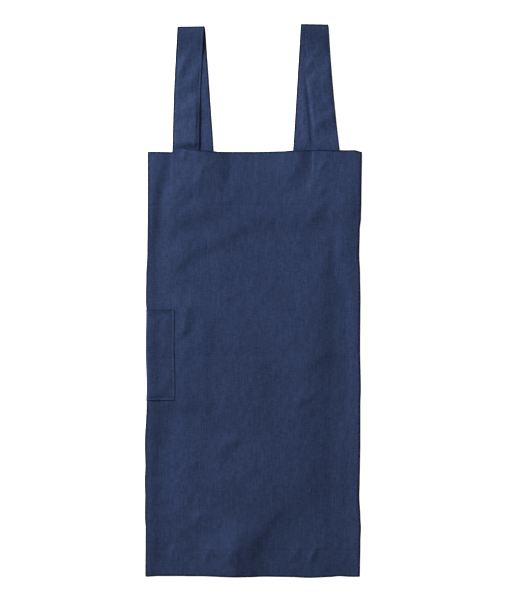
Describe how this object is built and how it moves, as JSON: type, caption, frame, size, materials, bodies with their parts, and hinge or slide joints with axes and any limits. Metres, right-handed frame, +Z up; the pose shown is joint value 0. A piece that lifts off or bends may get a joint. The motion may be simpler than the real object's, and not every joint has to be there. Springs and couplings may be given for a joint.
{
  "type": "cross back apron",
  "caption": "Navy linen cross back apron laid flat, with wrap-around wings folded behind, two wide straps that cross at the back and a patch pocket at the side.",
  "frame": {"origin": "on the floor, under the middle of the whole apron as it lies", "axes": "+Y from the hem to the shoulder ends of the straps, +Z up out of the front panel, +X to the right of it"},
  "size_m": [0.4098, 1.0436, 0.0099],
  "materials": {
    "navy_linen": "matt navy linen, softly creased",
    "navy_linen_inside": "matt navy linen, inner side",
    "pressed_strap_linen": "matt navy linen, doubled and pressed"
  },
  "bodies": {
    "root": {"body_panel": "navy_linen", "top_facing": "navy_linen_inside", "bottom_hem": "navy_linen_inside", "side_pocket": "navy_linen", "strap_left": "pressed_strap_linen", "strap_right": "pressed_strap_linen"}
  },
  "joints": []
}
